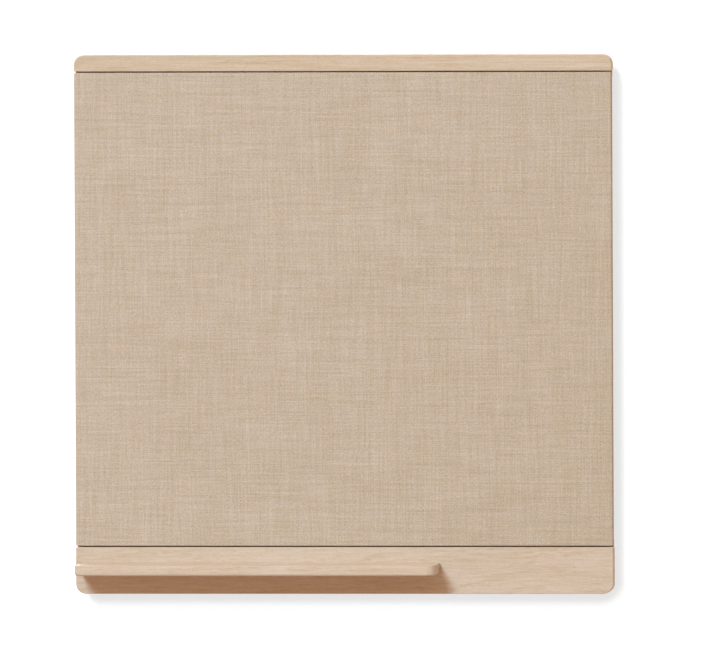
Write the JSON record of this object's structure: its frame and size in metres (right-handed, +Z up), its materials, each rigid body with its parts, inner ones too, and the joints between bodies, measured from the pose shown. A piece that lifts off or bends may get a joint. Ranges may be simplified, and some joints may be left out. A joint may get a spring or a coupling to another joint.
{
  "type": "pin board",
  "caption": "Square wall-hung pin board: linen-covered softboard panel between a slim top rail and a deep bottom rail of pale oak, with a ledge on the bottom rail.",
  "frame": {"origin": "centre of the top rail's back face, in the plane of the rails' backs", "axes": "+X to the right seen from the front, +Y towards the wall, +Z up; the pin face looks along -Y"},
  "size_m": [0.75, 0.1123, 0.75],
  "materials": {
    "oak": "satin",
    "linen": "matte",
    "softboard": "matte",
    "plywood": "matte",
    "beech": "matte",
    "steel": "satin",
    "felt": "matte"
  },
  "bodies": {
    "root": {"top_rail": "oak", "bottom_rail": "oak", "ledge": "oak", "linen_cover": "linen", "pin_core": "softboard", "backing_board": "plywood", "left_batten": "plywood", "right_batten": "plywood", "left_hanger": "steel", "right_hanger": "steel", "ledge_dowel_left": "beech", "ledge_dowel_right": "beech", "top_left_pad": "felt", "top_right_pad": "felt", "bottom_left_pad": "felt", "bottom_right_pad": "felt", "top_left_rail_screw_left": "steel", "top_left_rail_screw_right": "steel", "top_right_rail_screw_left": "steel", "top_right_rail_screw_right": "steel", "bottom_left_rail_screw_left": "steel", "bottom_left_rail_screw_right": "steel", "bottom_right_rail_screw_left": "steel", "bottom_right_rail_screw_right": "steel", "left_panel_screw_upper": "steel", "left_panel_screw_middle": "steel", "left_panel_screw_lower": "steel", "right_panel_screw_upper": "steel", "right_panel_screw_middle": "steel", "right_panel_screw_lower": "steel", "ledge_screw_left": "steel", "ledge_screw_middle": "steel", "ledge_screw_right": "steel", "left_hanger_screw_upper": "steel", "left_hanger_screw_lower": "steel", "right_hanger_screw_upper": "steel", "right_hanger_screw_lower": "steel"}
  },
  "joints": []
}
